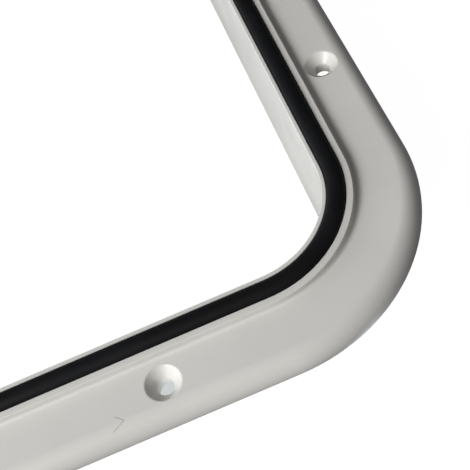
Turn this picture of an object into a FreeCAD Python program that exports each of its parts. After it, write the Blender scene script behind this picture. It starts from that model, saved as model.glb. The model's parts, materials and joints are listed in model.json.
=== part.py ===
"""Opening porthole: a moulded plastic frame with a rubber rim seal and a hinged acrylic lid.

Millimetres. +Z points from the hull into the cabin, +X along the long side, +Y to the hinge side.
The origin is at the middle of the opening, on the seating plane under the flange.
Lid pieces are drawn in the closed place and turned open about the hinge axis by their Placement.
"""
import FreeCAD, Part
import math
import os
import re

import Sketcher

DIMENSIONS = (
    # frame ring, insets are measured inwards from the outer edge of the flange
    ("overall_length", 400), ("overall_width", 250), ("corner_radius", 52.5),
    ("flange_thickness", 6), ("edge_round", 5.5),
    ("lip_height", 2.4), ("lip_inset", 17.7), ("lip_width", 2), ("lip_foot_round", 0.9),
    ("seal_width", 5.5), ("inner_lip_width", 1.25), ("groove_depth", 4), ("seal_crown", 1.6),
    ("spigot_depth", 30), ("spigot_inset", 22.4), ("wall_draft", 1.8),
    ("screw_inset", 10.25), ("screw_x_outer", 114), ("screw_x_inner", 38), ("screw_y", 36.5),
    ("screw_hole", 4.6), ("screw_countersink", 10),
    # hinges
    ("hinge_x", 76), ("axis_inset", 10), ("open_angle", 105),
    ("barrel_radius", 5.5), ("barrel_length", 24), ("bush_flange", 1), ("side_play", 0.2),
    ("lug_width", 6.5), ("lug_foot", 3), ("pin_radius", 2.5), ("pin_play", 0.05),
    ("pin_head_radius", 4), ("pin_head", 2), ("pin_tail", 3), ("clip_thickness", 0.8),
    ("clip_radius", 4.5), ("pin_groove_radius", 2), ("bush_radius", 3.5), ("bush_flange_radius", 5),
    ("bush_length", 8), ("strap_thickness", 4), ("strap_inset", 46), ("heel_length", 5.5),
    ("stop_gap", 0.3), ("stop_length", 2.5), ("stop_foot", 1), ("clip_mouth", 3),
    # lid
    ("seal_gap", 0.3), ("pane_inset", 17), ("pane_thickness", 10), ("pane_bevel", 1),
    ("bolt_inset", 37), ("bolt_spacing", 14), ("bolt_radius", 2.5), ("bolt_head_radius", 4.5),
    ("bolt_socket_radius", 1.7), ("bolt_socket_depth", 2),
    ("backing_thickness", 3), ("backing_width", 14), ("backing_gasket", 1),
    # quarter-turn handles
    ("handle_x", 100), ("handle_inset", 39.9), ("base_radius", 15), ("base_thickness", 4),
    ("base_bevel", 1),
    ("sleeve_radius", 7), ("sleeve_length", 17), ("spindle_radius", 4), ("spindle_play", 0.05),
    ("washer_radius", 10), ("washer_thickness", 1.5), ("nut_radius", 11), ("nut_thickness", 5),
    ("lever_gap", 0.3), ("hub_radius", 11), ("hub_height", 12), ("lever_length", 56),
    ("lever_tip_radius", 5.5), ("lever_thickness", 7.5), ("lever_round", 2), ("spindle_in_hub", 8.5),
    ("cap_radius", 6.5), ("cap_thickness", 1.5), ("cap_proud", 0.4),
    ("ring_radius", 0.8), ("ring_drop", 9),
    # keepers and cams, drops are measured down from the seating plane
    ("keeper_top", 2), ("keeper_bottom", 8), ("keeper_inset", 31.9), ("keeper_length", 24),
    ("keeper_ramp", 1.5), ("keeper_screw_spacing", 14), ("keeper_screw_radius", 1.5),
    ("keeper_screw_head", 2.7), ("keeper_screw_bite", 3), ("keeper_root", 2),
    ("keeper_socket_radius", 0.8), ("keeper_socket_depth", 1.2),
    ("cam_gap", 0.3), ("cam_thickness", 4), ("cam_reach", 12), ("cam_width", 9), ("cam_hub_radius", 6),
    ("cam_square", 5.6), ("cam_screw_radius", 1.6), ("cam_screw_length", 8),
    ("cam_screw_head", 3.5), ("cam_screw_head_height", 2.2), ("cam_washer_radius", 5),
    ("cam_washer_thickness", 0.8), ("cam_socket_radius", 1.6), ("cam_socket_depth", 1.4),
    # how far cutting tools stand clear of what they cut
    ("tool_over", 1), ("tool_reach", 30),
)
DERIVED = {
    "half_length": "(overall_length / 2)",
    "half_width": "(overall_width / 2)",
    "lip_top": "(flange_thickness + lip_height)",
    "seal_inset": "(lip_inset + lip_width)",
    "inner_lip_inset": "(lip_inset + lip_width + seal_width)",
    "tunnel_inset": "(lip_inset + lip_width + seal_width + inner_lip_width)",
    "pane_bottom": "(lip_top + seal_crown + seal_gap)",
    "pane_top": "(pane_bottom + pane_thickness)",
    "strap_top": "(pane_top + strap_thickness)",
    "axis_y": "(half_width - axis_inset)",
    "axis_z": "(pane_bottom + pane_thickness / 2)",
    "lug_start": "(barrel_length / 2 + bush_flange + side_play)",
    "lug_end": "(lug_start + lug_width)",
    "bolt_y": "(half_width - bolt_inset)",
    "backing_top": "(pane_bottom - backing_gasket)",
    "backing_bottom": "(backing_top - backing_thickness)",
    "handle_y": "(handle_inset - half_width)",
    "lever_bottom": "(pane_top + base_thickness + lever_gap)",
    "keeper_middle": "(-(keeper_top + keeper_bottom) / 2)",
    "cam_top": "(-keeper_bottom - cam_gap)",
    "cam_bottom": "(cam_top - cam_thickness)",
    "washer_bottom": "(pane_bottom - washer_thickness)",
}
SIDES = (("left", -1), ("right", 1))
ALONG_X = ((0, 1, 0), 90)
ALONG_Y = ((1, 0, 0), -90)

doc = FreeCAD.newDocument("OpeningPorthole")
sheet = doc.addObject("Spreadsheet::Sheet", "Dimensions")
for row, (alias, size) in enumerate(DIMENSIONS, start=1):
    sheet.set("A%d" % row, alias)
    sheet.set("B%d" % row, str(size))
    sheet.setAlias("B%d" % row, alias)
doc.recompute()

PARTS = []


# ---------------------------------------------------------------- expressions and placing
def formula(words):
    """Write derived names out, then point every alias at its cell."""
    text = str(words)
    while any(re.search(r"\b%s\b" % name, text) for name in DERIVED):
        for name, meaning in DERIVED.items():
            text = re.sub(r"\b%s\b" % name, meaning, text)
    for alias, _ in DIMENSIONS:
        text = re.sub(r"(?<![.\w])%s\b" % alias, "Dimensions." + alias, text)
    return text


def bind(thing, name, words):
    thing.setExpression(name, formula(words))


def number(words):
    return float(sheet.evalExpression(formula(words)))


def put(thing, at, turn=None):
    """Place a primitive at three formulas; turn is an axis and a fixed angle."""
    if turn:
        rotation = FreeCAD.Rotation(FreeCAD.Vector(*turn[0]), turn[1])
        thing.Placement = FreeCAD.Placement(FreeCAD.Vector(), rotation)
    for letter, words in zip("xyz", at):
        bind(thing, "Placement.Base." + letter, words)
    return thing


def sub_part(thing, label, on_lid=False):
    """Name a finished sub-part, and swing it open about the hinge axis if the lid carries it."""
    thing.Label = label
    if on_lid:
        thing.Placement = FreeCAD.Placement(FreeCAD.Vector(), FreeCAD.Rotation(FreeCAD.Vector(1, 0, 0), -1))
        bind(thing, "Placement.Rotation.Angle", "-open_angle * 1 deg")
        swing = "axis_{0} - axis_{0} * cos(open_angle * 1 deg) {1} axis_{2} * sin(open_angle * 1 deg)"
        bind(thing, "Placement.Base.y", swing.format("y", "-", "z"))
        bind(thing, "Placement.Base.z", swing.format("z", "+", "y"))
    PARTS.append(thing)
    return thing


# ---------------------------------------------------------------- primitives and booleans
def box(size, at, turn=None):
    block = doc.addObject("Part::Box", "Block")
    for name, words in zip(("Length", "Width", "Height"), size):
        bind(block, name, words)
    return put(block, at, turn)


def cylinder(radius, height, at, turn=None):
    rod = doc.addObject("Part::Cylinder", "Rod")
    bind(rod, "Radius", radius)
    bind(rod, "Height", height)
    return put(rod, at, turn)


def cone(bottom_radius, top_radius, height, at, turn=None):
    taper = doc.addObject("Part::Cone", "Taper")
    bind(taper, "Radius1", bottom_radius)
    bind(taper, "Radius2", top_radius)
    bind(taper, "Height", height)
    return put(taper, at, turn)


def prism(sides, corner_radius, height, at, turn=None):
    bar = doc.addObject("Part::Prism", "Bar")
    bar.Polygon = sides
    bind(bar, "Circumradius", corner_radius)
    bind(bar, "Height", height)
    return put(bar, at, turn)


def fuse(*shapes):
    joined = doc.addObject("Part::MultiFuse", "Joined")
    joined.Shapes = list(shapes)
    joined.Refine = True
    return joined


def cut(base, *tools):
    trimmed = doc.addObject("Part::Cut", "Trimmed")
    trimmed.Base = base
    trimmed.Tool = tools[0] if len(tools) == 1 else fuse(*tools)
    return trimmed


def common(base, tool):
    shared = doc.addObject("Part::Common", "Shared")
    shared.Base = base
    shared.Tool = tool
    return shared


def group(*shapes):
    together = doc.addObject("Part::Compound", "Together")
    together.Links = list(shapes)
    return together


def tube(outer, inner, height, at, turn=None):
    return cut(cylinder(outer, height, at, turn), cylinder(inner, height, at, turn))


# ---------------------------------------------------------------- sketches and body features
def plane_sketch(body, role, height="0"):
    """An empty sketch on one of the body's own origin planes, moved along its normal."""
    sketch = body.newObject("Sketcher::SketchObject", "Sketch")
    plane = next(item for item in body.Origin.OriginFeatures if item.Role == role)
    sketch.AttachmentSupport = [(plane, "")]
    sketch.MapMode = "FlatFace"
    bind(sketch, "AttachmentOffset.Base.z", height)
    return sketch


def rule(sketch, kind, *arguments, size=None):
    """Add a constraint, and drive it by a formula if a size is given."""
    index = sketch.addConstraint(Sketcher.Constraint(kind, *arguments))
    if size is not None:
        bind(sketch, "Constraints[%d]" % index, size)
    return index


def rounded_outline(sketch, inset):
    """The flange's outline moved inwards: four sides and four arcs that share the corner centres."""
    half_x = number("half_length - (%s)" % inset)
    half_y = number("half_width - (%s)" % inset)
    radius = number("corner_radius - (%s)" % inset)
    vector = FreeCAD.Vector
    first = sketch.GeometryCount
    for step, (sx, sy) in enumerate(((1, 1), (-1, 1), (-1, -1), (1, -1))):
        centre = vector(sx * (half_x - radius), sy * (half_y - radius), 0)
        circle = Part.Circle(centre, vector(0, 0, 1), radius)
        start = step * math.pi / 2
        sketch.addGeometry(Part.ArcOfCircle(circle, start, start + math.pi / 2))
    arcs = range(first, first + 4)
    for step in range(4):
        ends = [sketch.getPoint(first + step, 2), sketch.getPoint(first + (step + 1) % 4, 1)]
        line = sketch.addGeometry(Part.LineSegment(*ends))
        rule(sketch, "Tangent", first + step, 2, line, 1)
        rule(sketch, "Tangent", line, 2, first + (step + 1) % 4, 1)
        rule(sketch, "Vertical" if step % 2 else "Horizontal", line)
    for arc in arcs[1:]:
        rule(sketch, "Equal", arcs[0], arc)
    rule(sketch, "Symmetric", arcs[0], 3, arcs[2], 3, -1, 1)
    rule(sketch, "Radius", arcs[0], radius, size="corner_radius - (%s)" % inset)
    rule(sketch, "DistanceX", -1, 1, arcs[0], 3, half_x - radius, size="half_length - corner_radius")
    rule(sketch, "DistanceY", -1, 1, arcs[0], 3, half_y - radius, size="half_width - corner_radius")


def circles(sketch, places, radius):
    for across, along in places:
        centre = FreeCAD.Vector(number(across), number(along), 0)
        circle = sketch.addGeometry(Part.Circle(centre, FreeCAD.Vector(0, 0, 1), number(radius)))
        rule(sketch, "Radius", circle, number(radius), size=radius)
        for kind, words in (("DistanceX", across), ("DistanceY", along)):
            backwards = number(words) < 0
            ends = (circle, 3, -1, 1) if backwards else (-1, 1, circle, 3)
            rule(sketch, kind, *ends, abs(number(words)), size="-(%s)" % words if backwards else words)


def pad(body, sketch, length, downwards=False):
    feature = body.newObject("PartDesign::Pad", "Pad")
    feature.Profile = sketch
    bind(feature, "Length", length)
    feature.Reversed = downwards
    doc.recompute()
    return feature


def pocket(body, sketch, length, draft=None):
    feature = body.newObject("PartDesign::Pocket", "Pocket")
    feature.Profile = sketch
    bind(feature, "Length", length)
    if draft:
        bind(feature, "TaperAngle", draft)
    doc.recompute()
    return feature


def dress(body, kind, size_name, size, wanted):
    """Fillet or chamfer the edges of the body's tip that the test accepts."""
    base = body.Tip
    names = ["Edge%d" % (n + 1) for n, edge in enumerate(base.Shape.Edges) if wanted(edge)]
    feature = body.newObject("PartDesign::" + kind, kind)
    feature.Base = (base, names)
    bind(feature, size_name, size)
    doc.recompute()
    return feature


def edge_on_outline(height, inset):
    """Test for an edge that lies at a height, on the outline with that inset."""
    level = number(height)
    half_x = number("half_length - (%s)" % inset)
    half_y = number("half_width - (%s)" % inset)
    radius = number("corner_radius - (%s)" % inset)

    def wanted(edge):
        place = edge.valueAt((edge.FirstParameter + edge.LastParameter) / 2)
        over_x = max(abs(place.x) - (half_x - radius), 0)
        over_y = max(abs(place.y) - (half_y - radius), 0)
        return abs(place.z - level) < 0.01 and abs(math.hypot(over_x, over_y) - radius) < 0.01
    return wanted


# ---------------------------------------------------------------- frame
def frame_ring():
    """Flange, raised lips, seal groove, tunnel and screw holes."""
    body = doc.addObject("PartDesign::Body", "FrameRing")
    outline = plane_sketch(body, "XY_Plane")
    rounded_outline(outline, "0")
    pad(body, outline, "flange_thickness")
    dress(body, "Fillet", "Radius", "edge_round", edge_on_outline("flange_thickness", "0"))

    lip = plane_sketch(body, "XY_Plane", "flange_thickness")
    rounded_outline(lip, "lip_inset")
    pad(body, lip, "lip_height")
    dress(body, "Fillet", "Radius", "lip_foot_round", edge_on_outline("flange_thickness", "lip_inset"))

    spigot = plane_sketch(body, "XY_Plane")
    rounded_outline(spigot, "spigot_inset")
    pad(body, spigot, "spigot_depth", downwards=True)

    tunnel = plane_sketch(body, "XY_Plane", "lip_top")
    rounded_outline(tunnel, "tunnel_inset")
    pocket(body, tunnel, "lip_top + spigot_depth", draft="-wall_draft")

    groove = plane_sketch(body, "XY_Plane", "lip_top")
    rounded_outline(groove, "seal_inset")
    rounded_outline(groove, "inner_lip_inset")
    pocket(body, groove, "groove_depth")

    places = [(sx + x, sy + "(half_width - screw_inset)")
              for x in ("screw_x_outer", "screw_x_inner") for sx in ("", "-") for sy in ("", "-")]
    places += [(sx + "(half_length - screw_inset)", sy + "screw_y") for sx in ("", "-") for sy in ("", "-")]
    centres = plane_sketch(body, "XY_Plane", "flange_thickness")
    circles(centres, places, "screw_hole / 2")
    doc.recompute()
    hole = body.newObject("PartDesign::Hole", "ScrewHoles")
    hole.Profile = centres
    hole.DepthType = "ThroughAll"
    hole.HoleCutType = "Countersink"
    hole.HoleCutCustomValues = True
    bind(hole, "Diameter", "screw_hole")
    bind(hole, "HoleCutDiameter", "screw_countersink")
    hole.HoleCutCountersinkAngle = 90
    doc.recompute()
    return body


def along_x(radius, start, end, y="axis_y", z="axis_z"):
    """A cylinder parallel to X between two places."""
    return cylinder(radius, "(%s) - (%s)" % (end, start), (start, y, z), ALONG_X)


def hinge_lugs(sign):
    """Two ears around one hinge and the sloping stop between them that the strap's heel meets."""
    pieces = []
    for start in ("-lug_end", "lug_start"):
        near = "%d * hinge_x + (%s)" % (sign, start)
        pieces.append(along_x("barrel_radius", near, near + " + lug_width"))
        pieces.append(box(("lug_width", "2 * barrel_radius", "axis_z - lug_foot"),
                          (near, "axis_y - barrel_radius", "lug_foot")))
    return pieces


def stop_wedge(sign):
    """A block on the flange whose top is parallel to the open strap's heel face."""
    start = "%d * hinge_x - barrel_length / 2" % sign
    block = box(("barrel_length", "stop_length", "axis_z - flange_thickness"),
                (start, "axis_y + barrel_radius - stop_length / 2", "flange_thickness - stop_foot"))
    above = box(("barrel_length + 2 * tool_over", "2 * tool_reach", "tool_reach"), ("0", "0", "0"))
    above.Placement = FreeCAD.Placement(FreeCAD.Vector(), FreeCAD.Rotation(FreeCAD.Vector(1, 0, 0), -1))
    bind(above, "Placement.Rotation.Angle", "(90 - open_angle) * 1 deg")
    bind(above, "Placement.Base.x", start + " - tool_over")
    away = ("axis_{} {} (heel_length + stop_gap) * {}(open_angle * 1 deg)"
            " - tool_reach * {}(open_angle * 1 deg)")
    bind(above, "Placement.Base.y", away.format("y", "+", "cos", "sin"))
    bind(above, "Placement.Base.z", away.format("z", "-", "sin", "cos"))
    return cut(block, above)


def keeper_screw_places(sign):
    return ["%d * handle_x %s keeper_screw_spacing / 2" % (sign, side) for side in ("-", "+")]


def keeper_shank(x):
    """Straight part of a keeper's screw, from inside the tunnel wall to the keeper's face."""
    return cylinder("keeper_screw_radius", "keeper_inset - tunnel_inset + keeper_screw_bite",
                    (x, "tunnel_inset - half_width - keeper_screw_bite", "keeper_middle"), ALONG_Y)


def keeper_head(x):
    return cone("0", "keeper_screw_head", "keeper_screw_head",
                (x, "keeper_inset - half_width - keeper_screw_head", "keeper_middle"), ALONG_Y)


def main_frame():
    solids = [frame_ring()]
    holes = []
    for _, sign in SIDES:
        solids += hinge_lugs(sign)
        solids.append(stop_wedge(sign))
        middle = "%d * hinge_x" % sign
        holes.append(along_x("pin_radius", middle + " - lug_end - tool_over",
                             middle + " + lug_end + tool_over"))
        holes += [keeper_shank(x) for x in keeper_screw_places(sign)]
    return sub_part(cut(fuse(*solids), *holes), "main_frame")


def rim_seal():
    """D-shaped rubber that fills the groove and stands above both lips."""
    body = doc.addObject("PartDesign::Body", "RimSeal")
    section = plane_sketch(body, "XY_Plane", "lip_top - groove_depth")
    rounded_outline(section, "seal_inset")
    rounded_outline(section, "inner_lip_inset")
    pad(body, section, "groove_depth + seal_crown")
    crown = "lip_top + seal_crown"
    outer = edge_on_outline(crown, "seal_inset")
    inner = edge_on_outline(crown, "inner_lip_inset")
    dress(body, "Fillet", "Radius", "seal_width / 2 - 0.05", lambda edge: outer(edge) or inner(edge))
    return sub_part(body, "rim_seal")


def keeper(side, sign, wall):
    """Ledge on the tunnel wall that a cam swings under, with a ramp at the end where the cam comes in."""
    block = box(("keeper_length", "keeper_inset - spigot_inset - keeper_root", "keeper_bottom - keeper_top"),
                ("%d * handle_x - keeper_length / 2" % sign, "spigot_inset + keeper_root - half_width",
                 "-keeper_bottom"))
    ramp = box(("keeper_ramp * sqrt(2)", "keeper_inset - spigot_inset", "keeper_ramp * sqrt(2)"),
               ("%d * (handle_x - keeper_length / 2) - keeper_ramp" % sign, "spigot_inset - half_width",
                "-keeper_bottom"), ((0, 1, 0), 45))
    tools = [ramp]
    for x in keeper_screw_places(sign):
        tools += [keeper_shank(x), keeper_head(x)]
    return sub_part(cut(cut(block, *tools), wall), "keeper_" + side)


def keeper_screws(side, sign):
    """Two countersunk screws into the tunnel wall."""
    screws = []
    for x in keeper_screw_places(sign):
        socket = prism(6, "keeper_socket_radius", "keeper_socket_depth + tool_over",
                       (x, "keeper_inset - half_width - keeper_socket_depth", "keeper_middle"), ALONG_Y)
        screws.append(cut(fuse(keeper_shank(x), keeper_head(x)), socket))
    return sub_part(group(*screws), "keeper_screws_" + side)


# ---------------------------------------------------------------- hinges
def span(sign, start, end):
    """Places of a stretch beside the hinge's middle, mirrored for the left hinge."""
    if sign > 0:
        return "hinge_x + %s" % start, "hinge_x + %s" % end
    return "-(hinge_x + %s)" % end, "-(hinge_x + %s)" % start


def hinge_pin(side, sign):
    """Headed pin, pressed into the ears, with a groove for its clip at the outer end."""
    shaft = along_x("pin_radius", *span(sign, "-lug_end", "(lug_end + pin_tail)"))
    head = along_x("pin_head_radius", *span(sign, "-(lug_end + pin_head)", "-lug_end"))
    groove_start = span(sign, "lug_end", "(lug_end + clip_thickness)")[0]
    groove = tube("pin_radius + tool_over", "pin_groove_radius", "clip_thickness",
                  (groove_start, "axis_y", "axis_z"), ALONG_X)
    return sub_part(cut(fuse(shaft, head), groove), "hinge_pin_" + side)


def hinge_clip(side, sign):
    """Retaining clip, open downwards, in the pin's groove."""
    start = span(sign, "lug_end", "(lug_end + clip_thickness)")[0]
    ring = tube("clip_radius", "pin_groove_radius", "clip_thickness", (start, "axis_y", "axis_z"), ALONG_X)
    mouth = box(("clip_thickness", "clip_mouth", "clip_radius + tool_over"),
                (start, "axis_y - clip_mouth / 2", "axis_z - clip_radius - tool_over"))
    return sub_part(cut(ring, mouth), "hinge_clip_" + side)


def bolt_places(sign):
    return ["%d * hinge_x %s bolt_spacing / 2" % (sign, side) for side in ("-", "+")]


def bolt_shank(x):
    """Straight part of a hinge bolt, from the strap's face to the backing plate's far face."""
    return cylinder("bolt_radius", "strap_top - backing_bottom", (x, "bolt_y", "backing_bottom"))


def bolt_head(x):
    return cone("0", "bolt_head_radius", "bolt_head_radius", (x, "bolt_y", "strap_top - bolt_head_radius"))


def hinge_strap(side, sign):
    """Strap on the cabin face of the pane with the barrel at its end; its back is the heel."""
    start = "%d * hinge_x - barrel_length / 2" % sign
    plate = box(("barrel_length", "strap_inset - axis_inset", "strap_thickness"),
                (start, "half_width - strap_inset", "pane_top"))
    heel = box(("barrel_length", "2 * barrel_radius", "strap_top - axis_z"),
               (start, "axis_y - barrel_radius", "axis_z"))
    barrel = along_x("barrel_radius", start, start + " + barrel_length")
    tools = [along_x("bush_radius", start + " - tool_over", start + " + barrel_length + tool_over")]
    for x in bolt_places(sign):
        tools += [bolt_shank(x), bolt_head(x)]
    return sub_part(cut(fuse(plate, heel, barrel), *tools), "hinge_strap_" + side, on_lid=True)


def hinge_bushes(side, sign):
    """Two flanged bushes, one in each end of the barrel, running on the pin."""
    bushes = []
    for way in (-1, 1):
        end = "%d * hinge_x + %d * barrel_length / 2" % (sign, way)
        inner, outer = (end + " - bush_length", end) if way > 0 else (end, end + " + bush_length")
        sleeve = along_x("bush_radius", inner, outer)
        face = (end, end + " + bush_flange") if way > 0 else (end + " - bush_flange", end)
        flange = along_x("bush_flange_radius", *face)
        bore = along_x("pin_radius + pin_play", end + " - 2 * bush_length", end + " + 2 * bush_length")
        bushes.append(cut(fuse(sleeve, flange), bore))
    return sub_part(group(*bushes), "hinge_bushes_" + side, on_lid=True)


def backing(side, sign, name, thickness, bottom):
    """Plate or gasket under the pane that the strap's bolts pass through."""
    plate = box(("barrel_length", "backing_width", thickness),
                ("%d * hinge_x - barrel_length / 2" % sign, "bolt_y - backing_width / 2", bottom))
    holes = [bolt_shank(x) for x in bolt_places(sign)]
    return sub_part(cut(plate, *holes), name + side, on_lid=True)


def hinge_bolts(side, sign):
    """Two countersunk machine screws from the strap into the backing plate."""
    bolts = []
    for x in bolt_places(sign):
        socket = prism(6, "bolt_socket_radius", "bolt_socket_depth + tool_over",
                       (x, "bolt_y", "strap_top - bolt_socket_depth"))
        bolts.append(cut(fuse(bolt_shank(x), bolt_head(x)), socket))
    return sub_part(group(*bolts), "hinge_bolts_" + side, on_lid=True)


# ---------------------------------------------------------------- lid
def pane():
    """Acrylic lid that closes on the rim seal, drilled for the hinges and handles."""
    body = doc.addObject("PartDesign::Body", "PaneBlank")
    outline = plane_sketch(body, "XY_Plane", "pane_bottom")
    rounded_outline(outline, "pane_inset")
    pad(body, outline, "pane_thickness")
    bottom = edge_on_outline("pane_bottom", "pane_inset")
    top = edge_on_outline("pane_top", "pane_inset")
    dress(body, "Chamfer", "Size", "pane_bevel", lambda edge: bottom(edge) or top(edge))
    holes = []
    for _, sign in SIDES:
        holes.append(cylinder("sleeve_radius", "sleeve_length",
                              (*handle_at(sign), "pane_top - sleeve_length")))
        holes += [bolt_shank(x) for x in bolt_places(sign)]
    return sub_part(cut(body, *holes), "pane", on_lid=True)


# ---------------------------------------------------------------- quarter-turn handles
def handle_at(sign):
    return "%d * handle_x" % sign, "handle_y"


def handle_base(side, sign):
    """Round escutcheon with a sleeve through the pane; the spindle runs in its bore."""
    x, y = handle_at(sign)
    disc = cylinder("base_radius", "base_thickness - base_bevel", (x, y, "pane_top"))
    shoulder = cone("base_radius", "base_radius - base_bevel", "base_bevel",
                    (x, y, "pane_top + base_thickness - base_bevel"))
    sleeve = cylinder("sleeve_radius", "sleeve_length", (x, y, "pane_top - sleeve_length"))
    bore = cylinder("spindle_radius + spindle_play", "sleeve_length + base_thickness",
                    (x, y, "pane_top - sleeve_length"))
    return sub_part(cut(fuse(disc, shoulder, sleeve), bore), "handle_base_" + side, on_lid=True)


def base_washer(side, sign):
    x, y = handle_at(sign)
    ring = tube("washer_radius", "sleeve_radius", "washer_thickness", (x, y, "washer_bottom"))
    return sub_part(ring, "base_washer_" + side, on_lid=True)


def base_nut(side, sign):
    x, y = handle_at(sign)
    bar = prism(6, "nut_radius", "nut_thickness", (x, y, "washer_bottom - nut_thickness"))
    bore = cylinder("sleeve_radius", "nut_thickness", (x, y, "washer_bottom - nut_thickness"))
    return sub_part(cut(bar, bore), "base_nut_" + side, on_lid=True)


def lever_blank():
    """Tapered lever outline as a body: large round hub, small round tip, tangent sides."""
    body = doc.addObject("PartDesign::Body", "LeverBlank")
    sketch = plane_sketch(body, "XY_Plane")
    hub = number("hub_radius")
    tip = number("lever_tip_radius")
    length = number("lever_length")
    lean = math.asin((hub - tip) / length)
    up = FreeCAD.Vector(0, 0, 1)
    centre = FreeCAD.Vector()
    far = FreeCAD.Vector(0, length, 0)
    hub_circle = Part.Circle(centre, up, hub)
    tip_circle = Part.Circle(far, up, tip)
    big = sketch.addGeometry(Part.ArcOfCircle(hub_circle, math.pi - lean, 2 * math.pi + lean))
    small = sketch.addGeometry(Part.ArcOfCircle(tip_circle, lean, math.pi - lean))
    right = sketch.addGeometry(Part.LineSegment(sketch.getPoint(big, 2), sketch.getPoint(small, 1)))
    left = sketch.addGeometry(Part.LineSegment(sketch.getPoint(small, 2), sketch.getPoint(big, 1)))
    rule(sketch, "Tangent", big, 2, right, 1)
    rule(sketch, "Tangent", right, 2, small, 1)
    rule(sketch, "Tangent", small, 2, left, 1)
    rule(sketch, "Tangent", left, 2, big, 1)
    rule(sketch, "Coincident", big, 3, -1, 1)
    rule(sketch, "PointOnObject", small, 3, -2)
    rule(sketch, "Radius", big, hub, size="hub_radius")
    rule(sketch, "Radius", small, tip, size="lever_tip_radius")
    rule(sketch, "DistanceY", big, 3, small, 3, length, size="lever_length")
    pad(body, sketch, "lever_thickness")
    top = number("lever_thickness")
    dress(body, "Fillet", "Radius", "lever_round",
          lambda edge: all(abs(corner.Z - top) < 0.01 for corner in edge.Vertexes))
    return body


def handle_lever(side, sign):
    """Hub and raised lever; unlocked, the lever points to the hinge side."""
    x, y = handle_at(sign)
    arm = put(lever_blank(), (x, y, "lever_bottom + hub_height - lever_thickness"))
    hub = cylinder("hub_radius", "hub_height - lever_round", (x, y, "lever_bottom"))
    bore = cylinder("spindle_radius", "spindle_in_hub", (x, y, "lever_bottom"))
    recess = cylinder("cap_radius", "cap_thickness", (x, y, "lever_bottom + hub_height - cap_thickness"))
    return sub_part(cut(fuse(arm, hub), bore, recess), "handle_lever_" + side, on_lid=True)


def handle_cap(side, sign):
    x, y = handle_at(sign)
    disc = cylinder("cap_radius", "cap_thickness + cap_proud",
                    (x, y, "lever_bottom + hub_height - cap_thickness"))
    return sub_part(group(disc), "handle_cap_" + side, on_lid=True)


def spindle(side, sign):
    """Round shaft with an O-ring groove and a square end for the cam."""
    x, y = handle_at(sign)
    shaft = cylinder("spindle_radius", "lever_bottom + spindle_in_hub - cam_top", (x, y, "cam_top"))
    square = box(("cam_square", "cam_square", "cam_thickness"),
                 (x + " - cam_square / 2", y + " - cam_square / 2", "cam_bottom"))
    groove = tube("spindle_radius + tool_over", "spindle_radius - 2 * ring_radius", "2 * ring_radius",
                  (x, y, "pane_top - ring_drop"))
    thread = cylinder("cam_screw_radius", "cam_screw_length", (x, y, "cam_bottom"))
    return sub_part(cut(fuse(shaft, square), groove, thread), "spindle_" + side, on_lid=True)


def spindle_ring(side, sign):
    """O-ring in the spindle's groove."""
    x, y = handle_at(sign)
    ring = doc.addObject("Part::Torus", "Ring")
    bind(ring, "Radius1", "spindle_radius - ring_radius")
    bind(ring, "Radius2", "ring_radius")
    put(ring, (x, y, "pane_top - ring_drop + ring_radius"))
    return sub_part(group(ring), "spindle_ring_" + side, on_lid=True)


def latch_cam(side, sign):
    """Tongue that swings under the keeper; unlocked, it lies along the rim."""
    x, y = handle_at(sign)
    hub = cylinder("cam_hub_radius", "cam_thickness", (x, y, "cam_bottom"))
    sweep = cylinder("cam_reach", "cam_thickness", (x, y, "cam_bottom"))
    start = x + (" - cam_reach" if sign > 0 else "")
    bar = box(("cam_reach", "cam_width", "cam_thickness"), (start, y + " - cam_width / 2", "cam_bottom"))
    hole = box(("cam_square", "cam_square", "cam_thickness"),
               (x + " - cam_square / 2", y + " - cam_square / 2", "cam_bottom"))
    return sub_part(cut(fuse(hub, common(bar, sweep)), hole), "latch_cam_" + side, on_lid=True)


def cam_washer(side, sign):
    x, y = handle_at(sign)
    ring = tube("cam_washer_radius", "cam_screw_radius", "cam_washer_thickness",
                (x, y, "cam_bottom - cam_washer_thickness"))
    return sub_part(ring, "cam_washer_" + side, on_lid=True)


def cam_screw(side, sign):
    x, y = handle_at(sign)
    under = "cam_bottom - cam_washer_thickness"
    shank = cylinder("cam_screw_radius", "cam_screw_length + cam_washer_thickness", (x, y, under))
    head = cylinder("cam_screw_head", "cam_screw_head_height", (x, y, under + " - cam_screw_head_height"))
    socket = prism(6, "cam_socket_radius", "cam_socket_depth", (x, y, under + " - cam_screw_head_height"))
    return sub_part(cut(fuse(shank, head), socket), "cam_screw_" + side, on_lid=True)


# ---------------------------------------------------------------- assembly
main_frame()
rim_seal()
pane()
for side, sign in SIDES:
    keeper(side, sign, frame_ring())
    keeper_screws(side, sign)
    hinge_pin(side, sign)
    hinge_clip(side, sign)
    hinge_strap(side, sign)
    hinge_bushes(side, sign)
    backing(side, sign, "hinge_gasket_", "backing_gasket", "backing_top")
    backing(side, sign, "hinge_backing_", "backing_thickness", "backing_bottom")
    hinge_bolts(side, sign)
    for make in (handle_base, base_washer, base_nut, handle_lever, handle_cap, spindle, spindle_ring,
                 latch_cam, cam_washer, cam_screw):
        make(side, sign)
doc.recompute()

for item in doc.Objects:
    failed = {"Invalid", "Error"} & set(item.State)
    if failed:
        raise RuntimeError("%s %s: %s" % (item.Name, item.Label, failed))
for piece in PARTS:
    if piece.Shape.isNull() or not piece.Shape.isValid() or piece.Shape.Volume <= 0:
        raise RuntimeError("bad shape: " + piece.Label)
os.makedirs("parts", exist_ok=True)
for piece in PARTS:
    piece.Shape.exportStep("parts/%s.step" % piece.Label)
    print("%-22s %10.1f mm3  %d solid(s)" % (piece.Label, piece.Shape.Volume, len(piece.Shape.Solids)))
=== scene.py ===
"""Opening porthole: frame, rim seal, acrylic lid, hinges and quarter-turn handles, with their finishes."""
import json
import math

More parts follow.
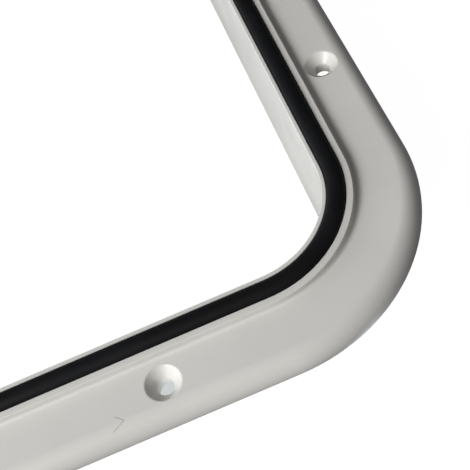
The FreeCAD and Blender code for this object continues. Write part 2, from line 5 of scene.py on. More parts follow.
import bmesh
import bpy
from bpy.props import FloatProperty, FloatVectorProperty, PointerProperty
from mathutils import Matrix, Vector


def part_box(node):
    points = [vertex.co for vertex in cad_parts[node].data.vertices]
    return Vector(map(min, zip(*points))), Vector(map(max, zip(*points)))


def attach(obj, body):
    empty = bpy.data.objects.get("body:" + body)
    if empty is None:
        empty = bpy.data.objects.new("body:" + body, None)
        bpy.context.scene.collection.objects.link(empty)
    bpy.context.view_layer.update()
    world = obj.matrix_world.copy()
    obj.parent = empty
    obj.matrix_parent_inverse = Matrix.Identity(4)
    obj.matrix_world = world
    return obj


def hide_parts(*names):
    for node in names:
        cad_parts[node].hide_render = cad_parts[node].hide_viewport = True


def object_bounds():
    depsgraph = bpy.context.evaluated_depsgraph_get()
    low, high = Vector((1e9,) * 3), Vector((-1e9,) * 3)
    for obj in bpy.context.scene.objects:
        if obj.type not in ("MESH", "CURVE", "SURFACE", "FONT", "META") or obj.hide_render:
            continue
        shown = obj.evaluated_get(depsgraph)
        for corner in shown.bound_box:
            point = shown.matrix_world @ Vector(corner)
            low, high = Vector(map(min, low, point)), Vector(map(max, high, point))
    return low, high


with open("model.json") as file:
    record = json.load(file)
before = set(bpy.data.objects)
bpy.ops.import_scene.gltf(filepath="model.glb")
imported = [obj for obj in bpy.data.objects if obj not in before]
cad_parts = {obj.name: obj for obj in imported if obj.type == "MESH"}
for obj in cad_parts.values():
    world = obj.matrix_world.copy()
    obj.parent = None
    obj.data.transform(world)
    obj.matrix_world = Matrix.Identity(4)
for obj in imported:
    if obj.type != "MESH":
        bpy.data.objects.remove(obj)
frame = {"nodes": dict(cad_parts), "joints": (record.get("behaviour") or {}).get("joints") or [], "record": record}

bl_info = {
    "name": "Opening Porthole",
    "version": (1, 0, 0),
    "blender": (4, 5, 0),
    "location": "3D View > Sidebar > Porthole",
    "description": "Builds the frame, seal, lid, hinges and handles of an opening porthole",
    "category": "Add Mesh",
}

MM = 0.001
CAD_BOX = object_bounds()
SIDES = (("left", -1), ("right", 1))
HINGE = next(joint for joint in frame["joints"] if joint["name"] == "lid_hinge")
HINGE_AT = Vector(HINGE["pos_m"])
OPEN_ANGLE = math.radians(HINGE["range_deg"][1])
SWING_OPEN = (Matrix.Translation(HINGE_AT) @ Matrix.Rotation(-OPEN_ANGLE, 4, "X")
              @ Matrix.Translation(-HINGE_AT))


def length(default, name, description):
    """A size property in metres whose default is given in millimetres."""
    return FloatProperty(name=name, description=description, default=default * MM, unit="LENGTH", precision=5)


def colour(default, name, description):
    return FloatVectorProperty(name=name, description=description, default=default, subtype="COLOR",
                               size=3, min=0.0, max=1.0)


def power(default, name, description):
    return FloatProperty(name=name, description=description, default=default, min=0.0, unit="POWER")


class FrameSizes(bpy.types.PropertyGroup):
    """Section of the moulded frame; insets are measured inwards from the flange's outer edge."""
    corner_radius: length(52.5, "Corner radius", "Outer radius of the flange at its corners")
    flange: length(6, "Flange", "Thickness of the flange")
    edge_round: length(5.5, "Edge round", "Radius on the flange's outer top edge")
    lip_inset: length(17.7, "Lip inset", "Outer edge of the raised lip")
    lip_height: length(2.4, "Lip height", "Height of both lips above the flange")
    lip_width: length(2, "Lip width", "Width of the outer lip's flat top")
    cove: length(0.9, "Cove", "Radius of the hollow at the foot of the lip")
    seal_width: length(5.5, "Seal width", "Width of the groove that holds the seal")
    groove: length(4, "Groove", "Depth of the seal groove")
    inner_lip: length(1.25, "Inner lip", "Width of the thin lip beside the opening")
    spigot_inset: length(22.4, "Spigot inset", "Outer face of the tunnel below the flange")
    draft: length(1.2, "Draft", "How far the tunnel closes in towards its bottom")
    soft_edge: length(0.3, "Soft edge", "Radius that the mould leaves on the lips' edges")
    hole_radius: length(2.3, "Screw hole", "Radius of a screw hole")
    sink_radius: length(5, "Countersink", "Radius of a countersink at the flange")


class LidSizes(bpy.types.PropertyGroup):
    """Lid, hinge and handle sizes; heights are those of the closed lid."""
    pane_bottom: length(10.3, "Pane underside", "Height of the closed pane's underside")
    pane: length(10, "Pane", "Thickness of the pane")
    pane_inset: length(17, "Pane inset", "Edge of the pane from the flange's outer edge")
    pane_bevel: length(1, "Pane bevel", "Polished bevel round the pane")
    strap: length(4, "Strap", "Thickness of a hinge strap")
    strap_reach: length(36, "Strap reach", "Free end of a strap from the hinge axis")
    barrel_radius: length(5.5, "Barrel", "Outer radius of a hinge barrel")
    barrel_length: length(24, "Barrel length", "Width of a hinge strap")
    bush_radius: length(3.5, "Bush", "Outer radius of a hinge bush")
    bush_length: length(8, "Bush length", "How far a bush goes into the barrel")
    pin_radius: length(2.5, "Pin", "Radius of a hinge pin")
    bolt_radius: length(2.5, "Bolt", "Radius of a hinge bolt")
    bolt_head: length(4.5, "Bolt head", "Radius of a hinge bolt's countersunk head")
    bolt_spacing: length(14, "Bolt spacing", "Between the two bolts of a hinge")
    bolt_reach: length(27, "Bolt reach", "Bolts from the hinge axis")
    hinge_x: length(76, "Hinge place", "Hinges from the middle of the lid")
    handle_x: length(100, "Handle place", "Handles from the middle of the lid")
    handle_inset: length(39.9, "Handle inset", "Handles from the flange's outer edge")
    base_radius: length(15, "Handle base", "Radius of a handle's base")
    base: length(4, "Base thickness", "Thickness of a handle's base")
    sleeve_radius: length(7, "Sleeve", "Outer radius of a base's sleeve")
    sleeve_length: length(17, "Sleeve length", "Length of a base's sleeve")
    nut_radius: length(11, "Nut", "Radius over the corners of a base's nut")
    nut: length(5, "Nut thickness", "Thickness of a base's nut")
    spindle_radius: length(4, "Spindle", "Radius of a spindle")
    hub_radius: length(11, "Hub", "Radius of a lever's hub")
    hub: length(12, "Hub height", "Height of a lever's hub")
    lever_length: length(56, "Lever", "From the hub to the centre of the lever's tip")
    lever_tip: length(5.5, "Lever tip", "Radius of the lever's tip")
    lever: length(7.5, "Lever thickness", "Thickness of the lever's arm")
    cap_radius: length(6.5, "Cap", "Radius of the cap in a hub")
    cam_reach: length(12, "Cam reach", "Tip of a cam from its spindle")
    cam_width: length(9, "Cam width", "Width of a cam's tongue")
    cam: length(4, "Cam thickness", "Thickness of a cam")


class FinishColours(bpy.types.PropertyGroup):
    """Colours of the plastics and rubber."""
    plastic: colour((0.76, 0.742, 0.70), "Frame plastic", "Pale grey of the moulded frame")
    rubber: colour((0.0036, 0.0038, 0.0045), "Rubber", "Black of the seal and gaskets")
    acrylic: colour((0.17, 0.175, 0.18), "Acrylic", "Smoke tint of the pane")
    nylon: colour((0.022, 0.023, 0.025), "Handle nylon", "Charcoal of levers, bases and nuts")
    bush: colour((0.72, 0.70, 0.62), "Bush nylon", "Natural nylon of the hinge bushes")
    steel: colour((0.60, 0.60, 0.59), "Stainless", "Satin stainless steel")


class StageSettings(bpy.types.PropertyGroup):
    """Camera and lights."""
    camera_at: FloatVectorProperty(name="Camera place", description="Where the camera stands", subtype="XYZ",
                                   default=(0.14449, -0.23400, 0.22980), unit="LENGTH", precision=5)
    camera_turn: FloatVectorProperty(name="Camera turn", description="How the camera is turned", subtype="EULER",
                                     default=(0.561272, 0.218857, -0.340865), unit="ROTATION", precision=4)
    lens: FloatProperty(name="Lens", description="Focal length on a 36 mm sensor", default=75.57, min=1,
                        unit="CAMERA")
    side_power: power(23, "Side light", "Power of the low soft light on the left")
    key_power: power(27, "Key light", "Power of the light above the left corner")
    front_power: power(11, "Front light", "Power of the light above the near left corner")
    opening_bounce: power(0.075, "Opening bounce", "Light that the floor throws up into the opening")
    flange_bounce: power(0.045, "Flange bounce", "Light thrown on each long outer wall of the tunnel")
    glow: FloatProperty(name="Room", description="Brightness of the room all round", default=0.12, min=0.0)


# ---------------------------------------------------------------- shader maths
class Value:
    """A number in a material; Python's operators add the Math nodes."""

    def __init__(self, paint, socket):
        self.paint = paint
        self.socket = socket

    def __add__(self, other):
        return self.paint.maths("ADD", self, other)

    def __mul__(self, other):
        return self.paint.maths("MULTIPLY", self, other)

    __radd__ = __add__
    __rmul__ = __mul__


class Paint:
    """The node tree of one material around a Principled shader."""

    def __init__(self, name, **sockets):
        self.material = bpy.data.materials.new(name)
        self.material.use_nodes = True
        self.tree = self.material.node_tree
        self.tree.nodes.clear()
        named = {key.replace("_", " "): value for key, value in sockets.items()}
        self.shader = self.node("ShaderNodeBsdfPrincipled", sockets=named)
        self.node("ShaderNodeOutputMaterial", sockets={"Surface": self.shader.outputs["BSDF"]})
        self.place = self.node("ShaderNodeTexCoord").outputs["Object"]

    def node(self, kind, settings=None, sockets=None):
        """Any node: its settings first, then the values or links of its sockets."""
        made = self.tree.nodes.new(kind)
        for key, setting in (settings or {}).items():
            setattr(made, key, setting)
        for key, value in (sockets or {}).items():
            value = value.socket if isinstance(value, Value) else value
            socket = made.inputs[key]
            if isinstance(value, bpy.types.NodeSocket):
                self.tree.links.new(value, socket)
            else:
                socket.default_value = (*value, 1.0) if socket.type == "RGBA" else value
        return made

    def maths(self, operation, *numbers):
        made = self.node("ShaderNodeMath", {"operation": operation}, dict(enumerate(numbers)))
        return Value(self, made.outputs[0])

    def stretched(self, scale):
        return self.node("ShaderNodeMapping", sockets={"Vector": self.place, "Scale": scale}).outputs["Vector"]

    def noise(self, scale, detail=2.0, roughness=0.5, vector=None):
        made = self.node("ShaderNodeTexNoise", sockets={
            "Vector": vector or self.place, "Scale": scale, "Detail": detail, "Roughness": roughness})
        return Value(self, made.outputs["Fac"])

    def cells(self, scale):
        made = self.node("ShaderNodeTexVoronoi", sockets={"Vector": self.place, "Scale": scale})
        return Value(self, made.outputs["Distance"]), made.outputs["Color"]

    def between(self, value, low, high, start=0.0, end=1.0):
        """Smooth step of a value from low to high, giving start to end."""
        made = self.node("ShaderNodeMapRange", {"interpolation_type": "SMOOTHSTEP"}, {
            "Value": value, "From Min": low, "From Max": high, "To Min": start, "To Max": end})
        return Value(self, made.outputs["Result"])

    def blend(self, factor, first, second):
        """Mix of two colours."""
        return self.node("ShaderNodeMix", {"data_type": "RGBA"}, {0: factor, 6: first, 7: second}).outputs[2]

    def drive(self, name, value):
        """Feed one of the shader's sockets."""
        self.tree.links.new(value.socket if isinstance(value, Value) else value, self.shader.inputs[name])

    def vector_maths(self, operation, first, second, outcome="Vector"):
        made = self.node("ShaderNodeVectorMath", {"operation": operation}, {0: first, 1: second})
        return made.outputs[outcome]

    def stroke(self, start, end, width):
        """1 on a thin straight mark between two places, 0 elsewhere."""
        start, run = Vector(start), Vector(end) - Vector(start)
        offset = self.vector_maths("SUBTRACT", self.place, start)
        along = Value(self, self.vector_maths("DOT_PRODUCT", offset, run / run.length_squared, "Value"))
        along = self.maths("MAXIMUM", self.maths("MINIMUM", along, 1.0), 0.0)
        across = self.node("ShaderNodeVectorMath", {"operation": "SCALE"}, {0: run, "Scale": along})
        gap = self.vector_maths("DISTANCE", offset, across.outputs["Vector"], "Value")
        return self.between(gap, 0.4 * width, width, 1.0, 0.0)

    def relief(self, height, depth):
        """Bump the surface; depth is what a height of 1 stands for, in metres."""
        bump = self.node("ShaderNodeBump", sockets={"Height": height, "Distance": depth, "Strength": 1.0})
        self.drive("Normal", bump.outputs["Normal"])


def tinted(shade, factor):
    return tuple(min(1.0, part * factor) for part in shade)


# ---------------------------------------------------------------- finishes
def frame_plastic(name, shade):
    """Moulded plastic: faint cloudiness, fine matt grain, hairline scuffs and a few specks of dust."""
    paint = Paint(name, Specular_IOR_Level=0.45)
    cloud = paint.noise(26, 3, 0.55)
    grain = paint.noise(2600, 2, 0.6)
    swirl = paint.noise(9, 2, 0.5, paint.stretched((1.0, 14.0, 3.0)))
    base = paint.blend(paint.between(cloud, 0.35, 0.7), tinted(shade, 0.975), tinted(shade, 1.02))
    distance, lot = paint.cells(95)
    chosen = paint.between(paint.node("ShaderNodeSeparateColor", sockets={"Color": lot}).outputs[0], 0.86, 0.87)
    speck = paint.between(distance, 0.018, 0.03, 1.0, 0.0) * chosen
    bend, width = (0.1016, -0.1202, 0.00596), 0.2 * MM
    scratch = paint.maths("MAXIMUM", paint.stroke((0.0996, -0.1184, 0.006), bend, width),
                          paint.stroke(bend, (0.0982, -0.1219, 0.00545), width))
    paint.drive("Base Color", paint.blend(speck * 0.55 + scratch * 0.5, base, tinted(shade, 0.35)))
    paint.drive("Roughness", paint.between(cloud * 0.6 + swirl * 0.4, 0.3, 0.7, 0.28, 0.37))
    paint.relief(grain * 0.7 + paint.noise(700, 2) * 0.3, 0.000022)
    return paint.material


def black_rubber(name, shade):
    """Extruded rubber: soft sheen, fine skin and a little bloom."""
    paint = Paint(name, Specular_IOR_Level=0.2)
    bloom = paint.noise(60, 4, 0.6)
    paint.drive("Base Color", paint.blend(paint.between(bloom, 0.4, 0.8), shade, tinted(shade, 2.0)))
    paint.drive("Roughness", paint.between(bloom, 0.3, 0.7, 0.58, 0.7))
    paint.relief(paint.noise(1900, 3, 0.6), 0.000018)
    return paint.material


def smoked_acrylic(name, shade):
    """Clear polished acrylic with a smoke tint and hairline wipe marks."""
    paint = Paint(name, Transmission_Weight=0.92, IOR=1.49)
    wipe = paint.noise(130, 3, 0.6, paint.stretched((1.0, 9.0, 9.0)))
    paint.drive("Base Color", paint.blend(paint.between(wipe, 0.3, 0.8), shade, tinted(shade, 1.12)))
    paint.drive("Roughness", paint.between(wipe, 0.45, 0.8, 0.02, 0.07))
    return paint.material


def stainless(name, shade):
    """Satin stainless steel with drawn lines and faint water marks."""
    paint = Paint(name, Metallic=1.0)
    lines = paint.noise(900, 4, 0.65, paint.stretched((0.05, 1.0, 1.0)))
    marks = paint.noise(110, 3, 0.6)
    spots = paint.between(marks, 0.4, 0.75)
    paint.drive("Base Color", paint.blend(spots, tinted(shade, 0.93), tinted(shade, 1.04)))
    paint.drive("Roughness", paint.between(lines, 0.3, 0.7, 0.2, 0.36))
    paint.relief(lines, 0.000012)
    return paint.material


def handle_nylon(name, shade):
    """Glass-filled nylon: eroded texture, glossier where fingers rub."""
    paint = Paint(name, Specular_IOR_Level=0.5)
    rub = paint.noise(48, 3, 0.55)
    pores, _ = paint.cells(1500)
    paint.drive("Base Color", paint.blend(paint.between(rub, 0.35, 0.7), tinted(shade, 0.85), tinted(shade, 1.5)))
    paint.drive("Roughness", paint.between(rub, 0.35, 0.7, 0.42, 0.58))
    paint.relief(pores * 0.6 + paint.noise(2400, 2) * 0.4, 0.00004)
    return paint.material


def bush_nylon(name, shade):
    """Waxy natural nylon with turning marks."""
    paint = Paint(name, Specular_IOR_Level=0.5, Subsurface_Weight=0.08)
    rings = paint.noise(1500, 2, 0.5, paint.stretched((1.0, 0.05, 0.05)))
    paint.drive("Base Color", paint.blend(paint.noise(300, 2), tinted(shade, 0.9), tinted(shade, 1.06)))
    paint.drive("Roughness", paint.between(rings, 0.3, 0.7, 0.34, 0.5))
    paint.relief(rings, 0.00001)
    return paint.material


FINISHES = {
    "frame_plastic": (frame_plastic, "plastic"),
    "black_rubber": (black_rubber, "rubber"),
    "smoked_acrylic": (smoked_acrylic, "acrylic"),
    "stainless": (stainless, "steel"),
    "handle_nylon": (handle_nylon, "nylon"),
    "bush_nylon": (bush_nylon, "bush"),
}


def finish(slot):
    """The material of a slot of the record, made once."""
    name = slot + "_finish"
    if name not in bpy.data.materials:
        recipe, shade = FINISHES[slot]
        recipe(name, tuple(getattr(bpy.context.scene.porthole_colours, shade)))
    return bpy.data.materials[name]


# ---------------------------------------------------------------- mesh helpers
def arc(centre, radius, start, end, steps):
    """Points on an arc, angles in degrees, both ends included."""
    return [(centre[0] + radius * math.cos(math.radians(start + (end - start) * step / steps)),
             centre[1] + radius * math.sin(math.radians(start + (end - start) * step / steps)))
            for step in range(steps + 1)]


def outline_sizes():
    """Half length, half width and corner radius of the flange's outline."""
    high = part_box("main_frame")[1]
    return high[0], high[1], bpy.context.scene.porthole_sizes.corner_radius


def ring(points):
    """Carry a closed section, given as inset and height, round the frame's outline."""
    half_x, half_y, radius = outline_sizes()
    mesh = bmesh.new()
    line = [mesh.verts.new((0.0, inset - half_y, height)) for inset, height in points]
    edges = [mesh.edges.new(pair) for pair in zip(line, line[1:] + line[:1])]

    def pull(edges, offset):
        moved = bmesh.ops.extrude_edge_only(mesh, edges=edges)["geom"]
        verts = [item for item in moved if isinstance(item, bmesh.types.BMVert)]
        bmesh.ops.translate(mesh, verts=verts, vec=offset)
        return [item for item in moved if isinstance(item, bmesh.types.BMEdge)]

    edges = pull(edges, (half_x - radius, 0.0, 0.0))
    turned = bmesh.ops.spin(mesh, geom=edges, cent=(half_x - radius, radius - half_y, 0.0), axis=(0.0, 0.0, 1.0),
                            angle=math.pi / 2, steps=32)["geom_last"]
    edges = [item for item in turned if isinstance(item, bmesh.types.BMEdge)]
    pull(edges, (0.0, half_y - radius, 0.0))
    for axis in ("X", "Y"):
        bmesh.ops.mirror(mesh, geom=mesh.verts[:] + mesh.edges[:] + mesh.faces[:], axis=axis, merge_dist=1e-6)
    bmesh.ops.remove_doubles(mesh, verts=mesh.verts[:], dist=1e-6)
    return mesh


def lathe(points, at, steps=48, axis="Z"):
    """Turn a closed section, given as radius and height, about an axis through a point."""
    mesh = bmesh.new()
    line = [mesh.verts.new((radius, 0.0, height)) for radius, height in points]
    edges = [mesh.edges.new(pair) for pair in zip(line, line[1:] + line[:1])]
    bmesh.ops.spin(mesh, geom=line + edges, cent=(0.0, 0.0, 0.0), axis=(0.0, 0.0, 1.0), angle=math.tau,
                   steps=steps, use_merge=True)
    bmesh.ops.remove_doubles(mesh, verts=mesh.verts[:], dist=1e-7)
    bmesh.ops.dissolve_degenerate(mesh, edges=mesh.edges[:], dist=1e-7)
    if axis == "X":
        bmesh.ops.rotate(mesh, verts=mesh.verts[:], matrix=Matrix.Rotation(math.pi / 2, 3, "Y"))
    bmesh.ops.translate(mesh, verts=mesh.verts[:], vec=at)
    bmesh.ops.recalc_face_normals(mesh, faces=mesh.faces[:])
    return mesh


def slab(corners, axis, depth, ease, segments):
    """A flat outline pushed along an axis, 0 for X to 2 for Z, with its rims rounded."""
    mesh = bmesh.new()
    face = mesh.faces.new([mesh.verts.new(corner) for corner in corners])
    moved = bmesh.ops.extrude_face_region(mesh, geom=[face])["geom"]
    verts = [item for item in moved if isinstance(item, bmesh.types.BMVert)]
    push = Vector((0.0, 0.0, 0.0))
    push[axis] = depth
    bmesh.ops.translate(mesh, verts=verts, vec=push)
    bmesh.ops.recalc_face_normals(mesh, faces=mesh.faces[:])
    rims = [edge for edge in mesh.edges if abs(edge.verts[0].co[axis] - edge.verts[1].co[axis]) < 1e-7]
    bmesh.ops.bevel(mesh, geom=rims, offset=ease, segments=segments, affect="EDGES", profile=0.5, material=-1)
    return mesh


def side_plate(points, start, end, ease=0.8 * MM):
    """A plate cut to a side outline, given as y and z, between two x places."""
    return slab([(start, y, z) for y, z in points], 0, end - start, ease, 3)


def plate(outline, low, high, ease, segments=3):
    """A plate of a given outline, given as x and y, between two heights."""
    return slab([(x, y, low) for x, y in outline], 2, high - low, ease, segments)


def join(*meshes):
    """One mesh of several; the others are freed."""
    store = bpy.data.meshes.new("joining")
    whole = meshes[0]
    for part in meshes[1:]:
        part.to_mesh(store)
        whole.from_mesh(store)
        part.free()
    bpy.data.meshes.remove(store)
    return whole


def subtract(mesh, cutter):
    """Cut one mesh out of another with an exact boolean."""
    body, tool = (new_object(name, part) for name, part in (("cut body", mesh), ("cut tool", cutter)))
    boolean = body.modifiers.new("cut", "BOOLEAN")
    boolean.object = tool
    boolean.solver = "EXACT"
    boolean.use_self = True
    graph = bpy.context.evaluated_depsgraph_get()
    result = bmesh.new()
    result.from_mesh(body.evaluated_get(graph).to_mesh())
    for item in (body, tool):
        data = item.data
        bpy.data.objects.remove(item)
        bpy.data.meshes.remove(data)
    return result


def new_object(name, mesh):
    data = bpy.data.meshes.new(name)
    mesh.to_mesh(data)
    mesh.free()
    made = bpy.data.objects.new(name, data)
    bpy.context.scene.collection.objects.link(made)
    return made


def piece(name, mesh, slot, body, nodes=(), sharp=38.0, on_lid=False):
    """Finish a mesh as a piece: shading, material, body and the CAD nodes it stands for."""
    if on_lid:
        bmesh.ops.transform(mesh, matrix=SWING_OPEN, verts=mesh.verts[:])
    limit = math.radians(sharp)
    for face in mesh.faces:
        face.smooth = True
    for edge in mesh.edges:
        edge.smooth = not (edge.is_manifold and edge.calc_face_angle(0.0) > limit)
    made = new_object(name, mesh)
    made.data.materials.append(finish(slot))
    normals = made.modifiers.new("even shading", "WEIGHTED_NORMAL")
    normals.keep_sharp = True
    normals.weight = 90
    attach(made, body)
    if nodes:
        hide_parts(*nodes)
    return made


# ---------------------------------------------------------------- frame
def frame_section(sizes):
    """The moulding's section as inset and height, from the underside's outer edge round to it again."""
    soft, top = sizes.soft_edge, sizes.flange + sizes.lip_height
    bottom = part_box("main_frame")[0][2]
    groove_outer = sizes.lip_inset + sizes.lip_width
    groove_inner = groove_outer + sizes.seal_width
    wall_top = groove_inner + sizes.inner_lip
    wall_bottom = wall_top + sizes.draft
    floor = top - sizes.groove
    big, cove, small = sizes.edge_round, sizes.cove, 0.7 * soft
    points = arc((soft, soft), soft, 270, 180, 3)
    points += arc((big, sizes.flange - big), big, 180, 90, 20)
    points += arc((sizes.lip_inset - cove, sizes.flange + cove), cove, 270, 355, 6)
    points += arc((sizes.lip_inset + soft, top - soft), soft, 175, 90, 4)
    points += arc((groove_outer - small, top - small), small, 90, 0, 4)
    points += [(groove_outer, floor), (groove_inner, floor)]
    points += arc((groove_inner + small, top - small), small, 180, 90, 4)
    points += arc((wall_top - soft, top - soft), soft, 90, 0, 4)
    points += arc((wall_bottom - soft, bottom + soft), soft, 0, -90, 4)
    points += arc((sizes.spigot_inset + soft, bottom + soft), soft, 270, 180, 4)
    points += [(sizes.spigot_inset, -2 * soft), (sizes.spigot_inset - 2 * soft, 0.0)]
    return points


def screw_places():
    """Where the screws go, from the bolt patterns of the record."""
    places = []
    for mount in frame["record"]["mounts"]:
        if mount["kind"] == "bolt_pattern":
            dims = mount["dims"]
            places += [(sx * dims["spacing_x_mm"] * MM / 2, sy * dims["spacing_y_mm"] * MM / 2)
                       for sx in (-1, 1) for sy in (-1, 1)]
    return places


def screw_hole_tool(sizes, place):
    """Countersunk hole with a softened rim."""
    rim, small, top = sizes.sink_radius, sizes.hole_radius, sizes.flange
    depth = rim - small
    ease = 0.3 * MM
    above, below = top + 1 * MM, -2 * MM
    points = [(0.0, above), (rim + ease, above), (rim + ease, top),
              (rim + 0.35 * ease, top - 0.12 * ease), (rim - 0.1 * ease, top - 0.35 * ease),
              (rim - 0.8 * ease, top - 0.8 * ease), (small + ease, top - depth + ease),
              (small + 0.3 * ease, top - depth + 0.1 * ease), (small, top - depth - 0.5 * ease),
              (small, below), (0.0, below)]
    return lathe(points, (*place, 0.0))


class PORTHOLE_OT_frame(bpy.types.Operator):
    """Mould the frame ring with its lips, seal groove, tunnel and screw holes"""
    bl_idname = "porthole.frame"
    bl_label = "Frame"

    def execute(self, context):
        sizes = context.scene.porthole_sizes
        moulding = ring(frame_section(sizes))
        bmesh.ops.recalc_face_normals(moulding, faces=moulding.faces[:])
        tools = join(*[screw_hole_tool(sizes, place) for place in screw_places()])
        piece("frame_moulding", subtract(moulding, tools), "frame_plastic", "frame", ["main_frame"])
        return {"FINISHED"}


class PORTHOLE_OT_hinge_ears(bpy.types.Operator):
    """Mould the ears that hold the hinge pins and the stops between them"""
    bl_idname = "porthole.hinge_ears"
    bl_label = "Hinge ears"

    def execute(self, context):
        flange = context.scene.porthole_sizes.flange
        radius, foot, gap, ear, stop = 5.5 * MM, 1.2 * MM, 1.2 * MM, 6.5 * MM, 2.5 * MM
        y, z = HINGE_AT.y, HINGE_AT.z
        reach = radius + 0.3 * MM
        for side, sign in SIDES:
            low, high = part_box("hinge_strap_" + side)
            parts = []
            for start, end in ((low[0] - gap - ear, low[0] - gap), (high[0] + gap, high[0] + gap + ear)):
                outline = [(y - radius, flange - foot), (y + radius, flange - foot)]
                outline += arc((y, z), radius, 0, 180, 24)
                parts.append(side_plate(outline, start, end))
            heel = Vector((math.cos(OPEN_ANGLE), -math.sin(OPEN_ANGLE))) * reach
            slope = math.tan(OPEN_ANGLE - math.pi / 2)
            near, far = y + radius - stop / 2, y + radius + stop / 2
            tops = [z + heel.y - slope * (place - y - heel.x) for place in (near, far)]
            wedge = [(near, flange - foot), (far, flange - foot), (far, tops[1]), (near, tops[0])]
            parts.append(side_plate(wedge, low[0], high[0], 0.3 * MM))
            piece("hinge_ears_" + side, join(*parts), "frame_plastic", "frame")
        return {"FINISHED"}


class PORTHOLE_OT_rim_seal(bpy.types.Operator):
    """Lay the D-shaped rubber seal in its groove"""
    bl_idname = "porthole.rim_seal"
    bl_label = "Rim seal"

    def execute(self, context):
        sizes = context.scene.porthole_sizes
        low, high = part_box("rim_seal")
        inner, outer = sizes.lip_inset + sizes.lip_width, sizes.lip_inset + sizes.lip_width + sizes.seal_width
        gap, shoulder, fullness = 0.1 * MM, 0.45 * MM, 0.9
        middle, half, foot = (inner + outer) / 2, sizes.seal_width / 2 - gap, low[2] + gap
        spring = sizes.flange + sizes.lip_height - shoulder
        rise = high[2] - spring
        crown = [(middle - half * math.cos(math.radians(angle)),
                  spring + rise * math.sin(math.radians(angle)) ** fullness) for angle in range(0, 181, 9)]
        rubber = ring([(middle + half, foot), (middle - half, foot)] + crown)
        bmesh.ops.recalc_face_normals(rubber, faces=rubber.faces[:])
        piece("rim_seal_rubber", rubber, "black_rubber", "frame", ["rim_seal"], sharp=60)
        return {"FINISHED"}


# ---------------------------------------------------------------- solids for the lid's pieces
def rod(radius, start, end, at, axis="Z", ease=0.3 * MM, steps=48):
    """A round bar between two places along its axis, with rounded ends."""
    points = [(0.0, start)] + arc((radius - ease, start + ease), ease, 270, 360, 3)
    points += arc((radius - ease, end - ease), ease, 0, 90, 3) + [(0.0, end)]
    return lathe(points, at, steps, axis)


def rectangle(middle, size, corner, steps):
    """Points round a rectangle with rounded corners."""
    (x, y), (half_x, half_y) = middle, (size[0] / 2 - corner, size[1] / 2 - corner)
    return [point for sx, sy, start in ((1, 1, 0), (-1, 1, 90), (-1, -1, 180), (1, -1, 270))
            for point in arc((x + sx * half_x, y + sy * half_y), corner, start, start + 90, steps)]


def hole_pair(sizes, x, y, low, high, sunk_at=None):
    """Tools for the two bolt holes of a hinge, countersunk at a height if one is given."""
    tools = []
    for way in (-1, 1):
        at = (x + way * sizes.bolt_spacing / 2, y, 0.0)
        shank = sizes.bolt_radius
        points = [(0.0, low), (shank, low), (shank, high), (0.0, high)]
        if sunk_at:
            head = sizes.bolt_head
            points = [(0.0, low), (shank, low), (shank, sunk_at - head + shank), (head, sunk_at),
                      (head, high), (0.0, high)]
        tools.append(lathe(points, at, 32))
    return tools


def handle_spot(sizes, sign):
    return sign * sizes.handle_x, sizes.handle_inset - outline_sizes()[1]


class PORTHOLE_OT_pane(bpy.types.Operator):
    """Cut the acrylic pane, bevel its rim and drill it"""
    bl_idname = "porthole.pane"
    bl_label = "Pane"

    def execute(self, context):
        sizes = context.scene.porthole_lid
        half_x, half_y, radius = outline_sizes()
        low, high = sizes.pane_bottom, sizes.pane_bottom + sizes.pane
        size = (2 * (half_x - sizes.pane_inset), 2 * (half_y - sizes.pane_inset))
        outline = rectangle((0.0, 0.0), size, radius - sizes.pane_inset, 24)
        sheet = plate(outline, low, high, sizes.pane_bevel, 1)
        tools = []
        for _, sign in SIDES:
            tools += hole_pair(sizes, sign * sizes.hinge_x, HINGE_AT.y - sizes.bolt_reach, 0.0, 2 * high)
            tools.append(rod(sizes.sleeve_radius, 0.0, 2 * high, (*handle_spot(sizes, sign), 0.0)))
        piece("pane_acrylic", subtract(sheet, join(*tools)), "smoked_acrylic", "lid", ["pane"], sharp=20,
              on_lid=True)
        return {"FINISHED"}


